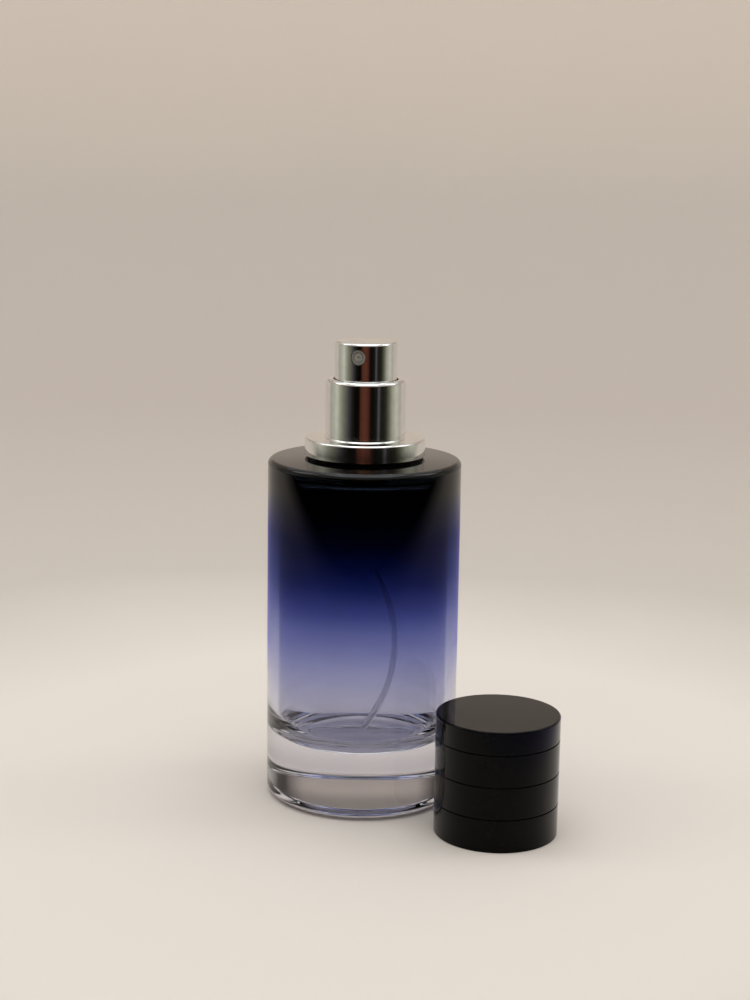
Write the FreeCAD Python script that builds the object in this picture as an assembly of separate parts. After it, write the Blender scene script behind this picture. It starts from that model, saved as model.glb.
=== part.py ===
import FreeCAD, Part
import math
import os

# Aftershave bottle with a crimped spray pump, and its cap standing beside it. Millimetres, +Z up.
# The origin is the centre of the bottle's base ring, on the surface that it stands on.
# The spray leaves along -Y. The sizes at the top drive the model; everything else follows from them.

V = FreeCAD.Vector
UP = V(0, 0, 1)
CENTRE = V(0, 0, 0)

# ---- Common small sizes ----
edge = 0.15              # rounding of a moulded or drawn edge
past = 1.0               # how far a cutter runs past the face that it opens
bite = 0.1               # how deep joined lumps of one piece run into each other
running = 0.08           # radial clearance of turning and sliding fits
lip_gap = 0.02           # radial clearance of sealing lips and pressed shanks
seat_gap = 0.05          # radial clearance of pieces that sit still in each other

# ---- Glass bottle ----
body_r = 21.0            # outside of the straight wall
shoulder_z = 75.3        # height of the shoulder's outer edge
shoulder_rise = 0.6      # from that edge to the root of the neck
shoulder_round = 1.2
shoulder_wall = 2.8
heel_round = 2.0
heel_rise = 0.6
wall = 2.5
floor_z = 13.2           # top of the thick base, inside
floor_round = 7.0        # bowl-like corner between floor and wall
ceiling_round = 3.0
push_up = 1.2            # hollow under the base
foot_in = 2.9            # from the wall to the outer edge of the ring that the bottle stands on
foot_w = 3.6
foot_round = 1.0
neck_h = 8.2             # from the root to the rim
bead_h = 3.8
bead_w = 1.0             # overhang of the bead beyond the neck; it makes a 15 mm crimp finish
bead_slope = 0.6         # rise of the bead's underside for each millimetre outwards
bead_round = 0.3
neck_wall = 1.3
bore_gap = 0.4           # between the pump's body and the bore of the neck
neck_root_round = 0.8
neck_inner_round = 1.0
rim_round = 0.5

# ---- Crimped pump ----
gasket_t = 0.8
pump_flange_t = 1.1
pump_flange_gap = 0.1    # inside the bead's radius
foil = 0.35              # aluminium of the crimp ferrule
crimp_gap = 0.15         # between ferrule and bead
crimp_reach = 0.4        # how far the crimped edge stays clear of the neck
crimp_round = 0.4
dome_round = 0.6
dome_hole = 0.85         # dome's hole beyond the stem
stroke = 4.0             # travel of the stem
stroke_left = 0.3        # left under head and core at the end of that travel
stem_r = 1.75
stem_bore_r = 0.75
stem_flange_w = 1.0
stem_flange_t = 0.8
stem_seal_t = 0.6
stem_tail = 5.2          # stem below its flange
stem_room = 0.2          # turret's cavity beyond the stem's flange
turret_h = 3.4           # tower of the turret above the pump's flange
turret_skirt = 3.0       # skirt of the turret below it
turret_wall = 1.0
turret_step = 0.3        # tower's radius beyond the skirt
turret_lid = 1.8
turret_round = 0.45
chamber_room = 0.35      # chamber's radius beyond the stem's flange
housing_wall = 0.9
housing_neck_wall = 0.8
housing_taper = 0.8      # height of the step between the two walls
inlet_taper = 1.2
piston_shelf = 1.1       # thickness of the piston's valve seat
piston_sleeve_h = 3.2    # sleeve above that shelf
piston_sleeve_wall = 0.6
piston_lip_h = 2.7
piston_lip_t = 0.35
lip_flat = 0.4           # part of each lip that touches the chamber
lip_relief = 0.15        # piston between its lips, inside the chamber
valve_lift = 0.5         # how far the piston opens on the stem
valve_gap = 0.1          # left over at the end of that lift
valve_hole = 0.2         # piston's valve hole beyond the stem's bore
valve_face = 0.45        # width of the valve's seat
valve_head_t = 1.0
valve_step = 0.3         # seat above the head's flat
valve_head_gap = 0.5     # head inside the chamber
pin_grip = 3.2           # pin inside the stem
flutes = 3
flute_w = 0.35
flute_floor = 0.4
piston_wire_r = 0.175
piston_spring_gap = 0.275
piston_coils = 4
return_wire_r = 0.25
return_spring_in = 0.9   # spring's centre line inside the chamber's wall
return_coils = 8
return_spring_low = 5.9  # height of the spring at the end of the stroke
ball_r = 1.0
ball_lift = 0.6
ball_gap = 0.03
inlet_hole_r = 0.6
cage_gap = 0.15
cage_cone = 0.4
cage_lip_t = 0.4
cage_lip_r = 0.8
cage_slots = 4
cage_slot_w = 0.4
inlet_t = 0.7            # web between ball seat and dip-tube socket
socket_h = 4.6
socket_wall = 1.1
socket_draft = 0.15
socket_lead = 0.4

# ---- Dip tube ----
tube_r = 0.75
tube_bore_r = 0.45
tube_end_gap = 0.1       # between the tube's top and the bottom of its socket
tube_bow = 7.2           # how far it bows out from the axis
tube_widest = 0.43       # share of its free height at which it bows furthest
tube_floor_gap = 0.8     # centre of its open end above the glass floor
tube_side = 15.0         # direction of the bow, degrees from +X

# ---- Collar ----
sheet = 0.4              # aluminium of collar and spray head
collar_gap = 0.4         # under the flange, above the shoulder's neck root
ferrule_gap = 0.3        # between ferrule and sleeve
flange_w = 4.35          # flange beyond the sleeve
flange_h = 3.7
flange_round = 0.45
sleeve_over = 2.05       # how far the sleeve reaches up over the spray head
sleeve_round = 0.8
sleeve_root_round = 0.25
mouth_gap = 0.35         # between the sleeve's mouth and the spray head
mouth_lip_h = 1.0        # turned-down edge of that mouth
insert_wall = 0.8
insert_plate = 1.0
hook_gap = 0.2
hook_chamfer = 0.3
hooks = 6
hook_angle = 34.0
insert_ribs = 12
insert_rib_w = 0.6
insert_rib_in = 0.4      # ribs below the collar's flange and behind the hooks

# ---- Spray head ----
sleeve_step = 2.0        # head's radius inside the sleeve's
head_h = 10.15
head_round = 0.6
core_wall = 0.85
core_step = 0.1          # core above the lower edge of its shell
core_fit = 0.03
stem_socket_h = 3.2
stem_lead = 0.4
nozzle_drop = 2.9        # nozzle centre below the top of the head
nozzle_r = 1.5
nozzle_ring = 0.15       # shell's hole beyond the nozzle
nozzle_depth = 2.5
nozzle_sunk = 0.25
nozzle_wall = 0.55
nozzle_chamfer = 0.12
nozzle_seat_gap = 0.2    # between the nozzle's cup and the bottom of its pocket
post_gap = 0.1
feed_r = 0.3
riser_r = 0.6
orifice_r = 0.15
dimple_r = 0.55
dimple_h = 0.35
swirl_r = 0.4
swirl_h = 0.15
swirl_grooves = 3
swirl_groove_w = 0.25

# ---- Cap ----
cap_over = 0.05          # cap's radius beyond the collar's flange
cap_headroom = 2.5       # over the spray head when the cap is on
cap_round = 0.4
cap_rim_round = 0.2
cap_wall = 1.3
cap_top = 1.6
cap_inner_round = 0.5
groove_first = 7.1
groove_step = 6.9
grooves = 3
groove_w = 0.28
groove_d = 0.3
liner_wall = 0.8
liner_lid = 1.0
liner_lid_round = 0.4
liner_up = 0.5           # liner above the cap's rim
liner_corner = 0.2       # the liner's corner is this much rounder than the shell's
liner_relief = 0.25
liner_lead = 0.3
liner_fins = 8
liner_fin_w = 0.8
grip_h = 11.5            # part of the liner's bore that grips the collar
grip_gap = 0.05
cap_stand = 3.5          # gap between cap and bottle on the table
cap_side = -25.3         # direction of the cap from the bottle, degrees from +X

# ---- Radii that several pieces share ----
cavity_r = body_r - wall
stem_flange_r = stem_r + stem_flange_w
turret_cavity_r = stem_flange_r + stem_room
turret_skirt_r = turret_cavity_r + turret_wall
turret_socket_r = turret_skirt_r + seat_gap
housing_r = turret_socket_r + housing_neck_wall
bore_r = housing_r + bore_gap
neck_r = bore_r + neck_wall
bead_r = neck_r + bead_w
pump_flange_r = bead_r - pump_flange_gap
turret_r = turret_skirt_r + turret_step
dome_r = turret_r + seat_gap
chamber_r = stem_flange_r + chamber_room
valve_hole_r = stem_bore_r + valve_hole
valve_face_r = valve_hole_r + valve_face
crimp_r = bead_r + crimp_gap
ferrule_r = crimp_r + foil
crimp_edge_r = neck_r + crimp_reach
sleeve_in_r = ferrule_r + ferrule_gap
sleeve_r = sleeve_in_r + sheet
flange_r = sleeve_r + flange_w
head_r = sleeve_r - sleeve_step
mouth_r = head_r + mouth_gap
core_r = head_r - sheet - core_fit
cap_r = flange_r + cap_over

# ---- Heights that several pieces share ----
root_z = shoulder_z + shoulder_rise
rim_z = root_z + neck_h
bead_z = rim_z - bead_h
gasket_z = rim_z + gasket_t
pump_flange_z = gasket_z + pump_flange_t
ferrule_z = pump_flange_z + foil
turret_z = pump_flange_z + turret_h
dome_z = turret_z + foil
skirt_z = pump_flange_z - turret_skirt
lid_z = turret_z - turret_lid
seal_z = lid_z - stem_seal_t
stem_flange_z = seal_z - stem_flange_t
stem_low_z = stem_flange_z - stem_tail
shelf_z = stem_low_z - valve_lift - valve_gap
seat_z = shelf_z - piston_shelf
piston_top_z = shelf_z + piston_sleeve_h
pin_low_z = seat_z - valve_head_t
ledge_z = pin_low_z - stroke - return_spring_low
cage_lip_z = ledge_z - cage_lip_t
ball_z = cage_lip_z - math.sqrt(ball_r ** 2 - cage_lip_r ** 2) - ball_gap - ball_lift
ball_seat_z = ball_z - math.sqrt(ball_r ** 2 - inlet_hole_r ** 2) - ball_gap
socket_z = ball_seat_z - inlet_t
mouth_z = socket_z - socket_h
collar_z = root_z + collar_gap
flange_z = collar_z + flange_h
head_z = ferrule_z + stroke + stroke_left
sleeve_z = head_z + sleeve_over
head_top_z = head_z + head_h
core_top_z = head_top_z - sheet
ceiling_z = dome_z + stroke + stroke_left
stem_top_z = ceiling_z + stem_socket_h
nozzle_z = head_top_z - nozzle_drop
nozzle_face = head_r - nozzle_sunk
pocket_end = nozzle_face - nozzle_depth
cap_h = head_top_z - flange_z + cap_headroom + liner_lid + cap_top

cap_reach = body_r + cap_r + cap_stand
cap_x = cap_reach * math.cos(math.radians(cap_side))
cap_y = cap_reach * math.sin(math.radians(cap_side))


def corner_arc(before, corner, after, rounding):
    """The tangent arc that rounds a corner: its start, middle and end."""
    to_before = (before - corner).normalize()
    to_after = (after - corner).normalize()
    half = to_before.getAngle(to_after) / 2
    reach = rounding / math.tan(half)
    inward = (to_before + to_after).normalize()
    middle = corner + inward * (rounding / math.sin(half) - rounding)
    return corner + to_before * reach, middle, corner + to_after * reach


def outline(corners):
    """Closed wire in the XZ plane from (r, z) corners, or (r, z, rounding) where one is rounded."""
    spots = [V(c[0], 0, c[1]) for c in corners]
    starts = []
    ends = []
    arcs = []
    for i, corner in enumerate(corners):
        if len(corner) == 3:
            following = spots[(i + 1) % len(spots)]
            start, middle, end = corner_arc(spots[i - 1], spots[i], following, corner[2])
            arcs.append(Part.Arc(start, middle, end).toShape())
        else:
            start = end = spots[i]
            arcs.append(None)
        starts.append(start)
        ends.append(end)
    edges = []
    for i, arc in enumerate(arcs):
        if arc:
            edges.append(arc)
        following = starts[(i + 1) % len(starts)]
        if ends[i].distanceToPoint(following) > 1e-6:
            edges.append(Part.LineSegment(ends[i], following).toShape())
    return Part.Wire(edges)


def turned(corners, turn=360.0):
    """Solid of revolution about the Z axis."""
    return Part.Face(outline(corners)).revolve(CENTRE, UP, turn)


def rod(r, z_low, z_high):
    """Cylinder on the Z axis."""
    return Part.makeCylinder(r, z_high - z_low, V(0, 0, z_low), UP)


def rod_y(r, y_low, y_high, z):
    """Cylinder along Y, on the plane x = 0."""
    return Part.makeCylinder(r, y_high - y_low, V(0, y_low, z), V(0, 1, 0))


def block(x_low, x_high, y_low, y_high, z_low, z_high):
    """Box between two corners."""
    return Part.makeBox(x_high - x_low, y_high - y_low, z_high - z_low, V(x_low, y_low, z_low))


def radial_bar(r_low, r_high, width, z_low, z_high):
    """Box that runs outwards along +X, centred on it."""
    return block(r_low, r_high, -width / 2, width / 2, z_low, z_high)


def around(shape, count, start=0.0):
    """Copies of a shape, evenly spaced round the Z axis."""
    return [shape.copy().rotate(CENTRE, UP, start + 360.0 * i / count) for i in range(count)]


def coil(r, wire_r, z_low, z_high, turns):
    """Helical spring whose wire just reaches both heights."""
    height = z_high - z_low - 2 * wire_r
    helix = Part.makeLongHelix(height / turns, height, r)
    helix.translate(V(0, 0, z_low + wire_r))
    along_wire = V(0, r, height / (2 * math.pi * turns))
    section = Part.Wire(Part.makeCircle(wire_r, V(r, 0, z_low + wire_r), along_wire))
    return Part.Wire(helix.Edges).makePipeShell([section], True, True)


def under_bead(r, gap):
    """Height of a line that runs under the bead, parallel to it and this far below."""
    return bead_z - gap - bead_slope * (bead_r - r)


def glass_bottle():
    """Heavy glass bottle: straight wall, thick base, nearly flat shoulder and a crimp-finish neck."""
    foot_out_r = body_r - foot_in
    foot_in_r = foot_out_r - foot_w
    ceiling = shoulder_z - shoulder_wall
    outside = turned([
        (0, push_up),
        (foot_in_r, push_up, foot_round),
        (foot_in_r + push_up, 0, foot_round),
        (foot_out_r, 0, foot_round),
        (body_r, heel_rise, heel_round),
        (body_r, shoulder_z, shoulder_round),
        (neck_r, root_z, neck_root_round),
        (neck_r, under_bead(neck_r, 0)),
        (bead_r, bead_z, bead_round),
        (bead_r, rim_z, rim_round),
        (0, rim_z),
    ])
    inside = turned([
        (0, floor_z),
        (cavity_r, floor_z, floor_round),
        (cavity_r, ceiling, ceiling_round),
        (bore_r, ceiling + shoulder_rise, neck_inner_round),
        (bore_r, rim_z + past),
        (0, rim_z + past),
    ])
    rim_chamfer = turned([
        (bore_r, rim_z - rim_round),
        (bore_r + rim_round, rim_z),
        (bore_r, rim_z),
    ])
    return outside.cut([inside, rim_chamfer])


def neck_gasket():
    """Soft ring between the glass rim and the pump's flange."""
    return turned([
        (bore_r + seat_gap, rim_z),
        (pump_flange_r, rim_z, edge),
        (pump_flange_r, gasket_z, edge),
        (bore_r + seat_gap, gasket_z),
    ])


def pump_housing():
    """Pump body: flange, turret socket, piston chamber, ball cage and dip-tube socket in one moulding."""
    chamber_out = chamber_r + housing_wall
    cage_r = ball_r + cage_gap
    cage_out = cage_r + housing_wall
    tube_fit = tube_r + lip_gap
    socket_out = tube_fit + socket_wall
    taper_z = skirt_z - housing_wall - edge * 3
    body = turned([
        (inlet_hole_r, ball_seat_z),
        (cage_r, ball_seat_z + cage_cone),
        (cage_r, cage_lip_z),
        (cage_lip_r, cage_lip_z),
        (cage_lip_r, ledge_z),
        (chamber_r, ledge_z, edge),
        (chamber_r, skirt_z),
        (turret_socket_r, skirt_z),
        (turret_socket_r, pump_flange_z),
        (pump_flange_r, pump_flange_z, edge),
        (pump_flange_r, gasket_z, edge),
        (housing_r, gasket_z, edge),
        (housing_r, taper_z),
        (chamber_out, taper_z - housing_taper),
        (chamber_out, ledge_z - housing_wall + cage_lip_t),
        (cage_out, ledge_z - housing_wall + cage_lip_t - inlet_taper),
        (cage_out, ball_seat_z),
        (socket_out, socket_z),
        (socket_out - socket_draft, mouth_z),
        (tube_fit + socket_lead / 2, mouth_z),
        (tube_fit, mouth_z + socket_lead),
        (tube_fit, socket_z),
        (inlet_hole_r, socket_z),
    ])
    slot = radial_bar(0, cage_r, cage_slot_w, cage_lip_z - bite, ledge_z + bite)
    return body.cut(around(slot, cage_slots))


def inlet_ball():
    """Steel ball that closes the inlet when the pump is pressed."""
    return Part.makeSphere(ball_r, V(0, 0, ball_z))


def return_spring():
    """Steel coil between the chamber's ledge and the valve pin."""
    return coil(chamber_r - return_spring_in, return_wire_r, ledge_z, pin_low_z, return_coils)


def valve_pin():
    """Head that closes the piston's valve hole, and a fluted shank that is pressed into the stem."""
    head_r_out = chamber_r - valve_head_gap
    head_top = seat_z - valve_step
    shank_r = stem_bore_r - lip_gap
    shank_top = stem_low_z + pin_grip
    pin = turned([
        (0, pin_low_z),
        (head_r_out, pin_low_z, edge),
        (head_r_out, head_top),
        (valve_face_r, head_top),
        (valve_face_r, seat_z),
        (shank_r, seat_z),
        (shank_r, shank_top, edge),
        (0, shank_top),
    ])
    flute = radial_bar(flute_floor, shank_r + bite, flute_w, seat_z + bite, shank_top + bite)
    return pin.cut(around(flute, flutes))


def piston():
    """Piston with two thin sealing lips, sliding on the stem; its shelf is the outlet valve's seat."""
    sleeve_bore = stem_r + running
    sleeve_out = sleeve_bore + piston_sleeve_wall
    lip_r = chamber_r - lip_gap
    lip_low = seat_z + bite
    lip_top = seat_z + piston_lip_h
    return turned([
        (valve_hole_r, seat_z),
        (valve_face_r + edge, seat_z),
        (sleeve_out, lip_low + lip_flat),
        (lip_r - piston_lip_t, lip_low),
        (lip_r, lip_low),
        (lip_r, lip_low + lip_flat),
        (lip_r - lip_relief, lip_low + 2 * lip_flat),
        (lip_r - lip_relief, lip_top - 2 * lip_flat),
        (lip_r, lip_top - lip_flat),
        (lip_r, lip_top),
        (lip_r - piston_lip_t, lip_top),
        (sleeve_out, lip_top - lip_flat),
        (sleeve_out, piston_top_z),
        (sleeve_bore, piston_top_z),
        (sleeve_bore, shelf_z),
        (valve_hole_r, shelf_z),
    ])


def piston_spring():
    """Small coil round the stem that keeps the piston on the valve pin."""
    r = stem_r + piston_wire_r + piston_spring_gap
    return coil(r, piston_wire_r, piston_top_z, stem_flange_z, piston_coils)


def stem():
    """Hollow stem with its stop flange; the spray head sits on its top."""
    return turned([
        (stem_bore_r, stem_low_z),
        (stem_r, stem_low_z, edge),
        (stem_r, stem_flange_z),
        (stem_flange_r, stem_flange_z, edge),
        (stem_flange_r, seal_z, edge),
        (stem_r, seal_z),
        (stem_r, stem_top_z, edge),
        (stem_bore_r, stem_top_z),
    ])


def stem_seal():
    """Rubber washer under the turret's lid, against which the stem's flange closes."""
    return turned([
        (stem_r + running, seal_z),
        (turret_cavity_r - seat_gap, seal_z, edge),
        (turret_cavity_r - seat_gap, lid_z, edge),
        (stem_r + running, lid_z),
    ])


def turret():
    """Guide that is snapped into the top of the pump body and holds the stem in."""
    guide_r = stem_r + running
    return turned([
        (turret_cavity_r, skirt_z),
        (turret_skirt_r, skirt_z, edge),
        (turret_skirt_r, pump_flange_z),
        (turret_r, pump_flange_z),
        (turret_r, turret_z, turret_round),
        (guide_r + edge, turret_z),
        (guide_r, turret_z - edge),
        (guide_r, lid_z),
        (turret_cavity_r, lid_z),
    ])


def crimp_ferrule():
    """Aluminium ferrule crimped under the bead of the neck; its dome holds the turret down."""
    dome_hole_r = stem_r + dome_hole
    return turned([
        (dome_hole_r, turret_z),
        (dome_r, turret_z, crimp_round),
        (dome_r, pump_flange_z),
        (crimp_r, pump_flange_z, edge),
        (crimp_r, under_bead(crimp_r, crimp_gap)),
        (crimp_edge_r, under_bead(crimp_edge_r, crimp_gap)),
        (crimp_edge_r, under_bead(crimp_edge_r, crimp_gap + foil)),
        (ferrule_r, under_bead(ferrule_r, crimp_gap + foil), crimp_round),
        (ferrule_r, ferrule_z, crimp_round),
        (dome_r + foil, ferrule_z, edge),
        (dome_r + foil, dome_z, dome_round),
        (dome_hole_r, dome_z),
    ])


def collar():
    """Drawn aluminium collar: wide flange on the shoulder and a sleeve round the spray head."""
    return turned([
        (flange_r, collar_z),
        (flange_r, flange_z, flange_round),
        (sleeve_r, flange_z, sleeve_root_round),
        (sleeve_r, sleeve_z, sleeve_round),
        (mouth_r, sleeve_z, edge),
        (mouth_r, sleeve_z - mouth_lip_h),
        (mouth_r + sheet, sleeve_z - mouth_lip_h),
        (mouth_r + sheet, sleeve_z - sheet),
        (sleeve_in_r, sleeve_z - sheet, sleeve_round - sheet),
        (sleeve_in_r, flange_z - sheet),
        (flange_r - sheet, flange_z - sheet, flange_round - sheet),
        (flange_r - sheet, collar_z),
    ])


def collar_insert():
    """Plastic ring inside the collar's flange, with hooks that snap under the crimped edge."""
    outer = flange_r - sheet - seat_gap
    inner = neck_r + 2 * crimp_reach
    top = flange_z - sheet
    plate_top = collar_z + insert_plate
    hook_top = under_bead(crimp_edge_r, crimp_gap + foil + hook_gap)
    hook_out = sleeve_in_r - hook_gap
    plate = turned([
        (inner, collar_z),
        (outer, collar_z, edge),
        (outer, top, edge),
        (outer - insert_wall, top),
        (outer - insert_wall, plate_top),
        (inner, plate_top),
    ])
    hook = turned([
        (inner, plate_top),
        (hook_out, plate_top),
        (hook_out, hook_top - hook_chamfer),
        (hook_out - hook_chamfer, hook_top),
        (inner, hook_top),
    ], hook_angle)
    rib = radial_bar(hook_out + insert_rib_in, outer - insert_wall / 2, insert_rib_w,
                     plate_top, top - insert_rib_in)
    lumps = around(hook, hooks, -hook_angle / 2) + around(rib, insert_ribs)
    return plate.fuse(lumps).removeSplitter()


def dip_tube_route():
    """Centre line below the socket, as (out, height) in its own plane: ends and middles of two arcs."""
    end_z = floor_z + tube_floor_gap
    free = mouth_z - end_z
    low = tube_widest * free
    high = free - low
    low_turn = 2 * math.atan(tube_bow / low)
    high_turn = 2 * math.atan(tube_bow / high)
    low_r = low / math.sin(low_turn)
    high_r = high / math.sin(high_turn) - low_r
    widest_z = end_z + low

    def on_low(turn):
        return tube_bow - low_r * (1 - math.cos(turn)), widest_z + low_r * math.sin(turn)

    def on_high(turn):
        return high_r * (1 - math.cos(turn)), mouth_z - high_r * math.sin(turn)

    return [on_high(0), on_high(high_turn / 2), on_high(high_turn), on_low(0), on_low(-low_turn)]


def dip_tube():
    """Clear tube from the pump's socket to the glass floor, bowed as it was coiled on the reel."""
    side = math.radians(tube_side)
    spots = [V(out * math.cos(side), out * math.sin(side), z) for out, z in dip_tube_route()]
    top = V(0, 0, socket_z - tube_end_gap)
    centre_line = Part.Wire([
        Part.LineSegment(top, spots[0]).toShape(),
        Part.Arc(spots[0], spots[1], spots[2]).toShape(),
        Part.Arc(spots[2], spots[3], spots[4]).toShape(),
    ])
    skins = []
    for r in (tube_r, tube_bore_r):
        section = Part.Wire(Part.makeCircle(r, top, V(0, 0, -1)))
        skins.append(centre_line.makePipeShell([section], True, True))
    return skins[0].cut(skins[1])


def actuator_shell():
    """Aluminium shell of the spray head, with the nozzle's hole."""
    shell = turned([
        (head_r - sheet, head_z),
        (head_r, head_z),
        (head_r, head_top_z, head_round),
        (0, head_top_z),
        (0, core_top_z),
        (head_r - sheet, core_top_z, head_round - sheet),
    ])
    hole = rod_y(nozzle_r + nozzle_ring, -head_r - past, -head_r + 2 * sheet, nozzle_z)
    return shell.cut(hole)


def actuator_core():
    """Plastic core of the spray head: stem socket, feed channel and nozzle pocket with its post."""
    base_z = head_z + core_step
    fit_r = stem_r + running / 2
    pocket_r = nozzle_r + core_fit
    post_r = nozzle_r - nozzle_wall - post_gap
    feed_z = nozzle_z + (pocket_r + post_r) / 2
    body = turned([
        (0, ceiling_z),
        (core_r - core_wall, ceiling_z, edge),
        (core_r - core_wall, base_z),
        (core_r, base_z),
        (core_r, core_top_z, head_round - sheet + edge),
        (0, core_top_z),
    ])
    lead = turned([
        (0, ceiling_z - bite),
        (stem_r + stem_lead, ceiling_z - bite),
        (stem_r, ceiling_z + stem_lead),
        (0, ceiling_z + stem_lead),
    ])
    body = body.cut([
        rod(fit_r, ceiling_z - bite, stem_top_z),
        lead,
        rod(riser_r, stem_top_z - bite, feed_z + feed_r),
        rod_y(feed_r, -pocket_end - bite, 0, feed_z),
        rod_y(pocket_r, -core_r - past, -pocket_end, nozzle_z),
    ])
    post = rod_y(post_r, -nozzle_face + nozzle_wall, -pocket_end + bite, nozzle_z)
    return body.fuse(post)


def nozzle_insert():
    """Cup-shaped spray nozzle on the core's post, with its orifice and swirl grooves."""
    cup_r = nozzle_r - nozzle_wall
    back = -pocket_end - nozzle_seat_gap
    face_in = -nozzle_face + nozzle_wall
    cup = rod_y(nozzle_r, -nozzle_face, back, nozzle_z)
    cup = cup.makeChamfer(nozzle_chamfer, [e for e in cup.Edges if e.CenterOfMass.y < face_in - nozzle_wall / 2])
    hollow = rod_y(cup_r, face_in, back + bite, nozzle_z)
    dimple = Part.makeCone(dimple_r, orifice_r, dimple_h, V(0, -nozzle_face, nozzle_z), V(0, 1, 0))
    orifice = rod_y(orifice_r, -nozzle_face, face_in, nozzle_z)
    swirl = rod_y(swirl_r, face_in - swirl_h, face_in, nozzle_z)
    groove = block(swirl_r / 2, cup_r, face_in - swirl_h, face_in,
                   nozzle_z + swirl_r - swirl_groove_w, nozzle_z + swirl_r)
    feeds = [
        groove.copy().rotate(V(0, 0, nozzle_z), V(0, 1, 0), 360.0 * i / swirl_grooves)
        for i in range(swirl_grooves)
    ]
    return cup.cut([hollow, dimple, orifice, swirl] + feeds)


def on_table(shape):
    """Moves a piece of the cap from the Z axis to where the cap stands."""
    return shape.translate(V(cap_x, cap_y, 0))


def cap_shell():
    """Outer shell of the cap, with its thin grooves."""
    inner_r = cap_r - cap_wall
    corners = [(inner_r, 0), (cap_r, 0, cap_rim_round)]
    for i in range(grooves):
        z = groove_first + groove_step * i
        corners += [
            (cap_r, z - groove_w / 2),
            (cap_r - groove_d, z - groove_w / 4),
            (cap_r - groove_d, z + groove_w / 4),
            (cap_r, z + groove_w / 2),
        ]
    corners += [
        (cap_r, cap_h, cap_round),
        (0, cap_h),
        (0, cap_h - cap_top),
        (inner_r, cap_h - cap_top, cap_inner_round),
    ]
    return on_table(turned(corners))


def cap_liner():
    """Plastic liner of the cap; its bore grips the collar's sleeve."""
    bore = sleeve_r + grip_gap
    relief = bore + liner_relief
    tube_out = relief + liner_wall
    outer = cap_r - cap_wall - seat_gap
    lid_top = cap_h - cap_top
    lid_low = lid_top - liner_lid
    grip_z = liner_up + grip_h
    liner = turned([
        (bore + liner_lead, liner_up),
        (outer, liner_up),
        (outer, liner_up + liner_wall),
        (tube_out, liner_up + liner_wall),
        (tube_out, lid_low),
        (outer, lid_low),
        (outer, lid_top, cap_inner_round + liner_corner),
        (0, lid_top),
        (0, lid_low),
        (relief, lid_low, liner_lid_round),
        (relief, grip_z + liner_relief),
        (bore, grip_z),
        (bore, liner_up + liner_lead),
    ])
    fin = radial_bar(tube_out - bite, outer, liner_fin_w, liner_up + liner_wall - bite, lid_low + bite)
    return on_table(liner.fuse(around(fin, liner_fins)).removeSplitter())


PIECES = {
    "glass_bottle": glass_bottle,
    "dip_tube": dip_tube,
    "pump_housing": pump_housing,
    "inlet_ball": inlet_ball,
    "return_spring": return_spring,
    "piston": piston,
    "valve_pin": valve_pin,
    "piston_spring": piston_spring,
    "stem": stem,
    "stem_seal": stem_seal,
    "turret": turret,
    "neck_gasket": neck_gasket,
    "crimp_ferrule": crimp_ferrule,
    "collar_insert": collar_insert,
    "collar": collar,
    "actuator_core": actuator_core,
    "actuator_shell": actuator_shell,
    "nozzle_insert": nozzle_insert,
    "cap_shell": cap_shell,
    "cap_liner": cap_liner,
}

os.makedirs("parts", exist_ok=True)
for name, make in PIECES.items():
    piece = make()
    piece.exportStep("parts/" + name + ".step")
    box = piece.BoundBox
    print(f"{name:15s} solids {len(piece.Solids)} valid {piece.isValid()} volume {piece.Volume:9.2f}"
          f" z {box.ZMin:7.2f} {box.ZMax:7.2f} width {box.XLength:6.2f}")
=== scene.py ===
import math

import bmesh
import bpy
from mathutils import Matrix, Vector


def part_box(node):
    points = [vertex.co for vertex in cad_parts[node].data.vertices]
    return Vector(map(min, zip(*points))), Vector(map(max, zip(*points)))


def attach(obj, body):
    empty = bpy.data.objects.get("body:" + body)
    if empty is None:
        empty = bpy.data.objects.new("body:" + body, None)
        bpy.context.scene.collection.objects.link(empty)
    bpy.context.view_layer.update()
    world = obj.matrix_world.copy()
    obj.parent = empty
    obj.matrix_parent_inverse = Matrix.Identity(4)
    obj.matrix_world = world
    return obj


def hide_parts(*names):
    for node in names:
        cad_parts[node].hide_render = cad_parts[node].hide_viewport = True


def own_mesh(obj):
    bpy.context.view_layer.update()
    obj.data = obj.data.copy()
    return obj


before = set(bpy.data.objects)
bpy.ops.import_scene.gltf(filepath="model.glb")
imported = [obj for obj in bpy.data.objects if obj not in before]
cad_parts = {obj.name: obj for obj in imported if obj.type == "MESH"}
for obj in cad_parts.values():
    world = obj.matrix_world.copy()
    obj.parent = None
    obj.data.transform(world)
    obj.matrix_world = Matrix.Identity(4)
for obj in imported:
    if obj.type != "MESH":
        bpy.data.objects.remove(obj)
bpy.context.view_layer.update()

MM = 0.001
AROUND = 256                  # sides of a turned piece
SMALL_AROUND = 96             # sides of the nozzle and its hole
ARC_STEP = math.radians(9)    # longest stretch of a rounded corner
ARC_MARGIN = 0.05 * MM        # straight stretch beside a rounded corner that shares its shading
SHORTEST = 6 * ARC_MARGIN     # a stretch shorter than this gets no such margins
ON_AXIS = 1e-7                # an outline point nearer to the axis than this is a single vertex
SHARP = 35                    # degrees; edges of turned pieces that bend more stay sharp
WIRE_SHARP = 50               # the same for the tube and the springs
STAGE_SHARP = 180             # the stage has no sharp edges

# ---- Sizes that more than one piece needs ----
FLOOR_Z = 13.2 * MM           # inner floor of the bottle
TUBE_SIDE = math.radians(15)  # direction in which the dip tube bows

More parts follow.
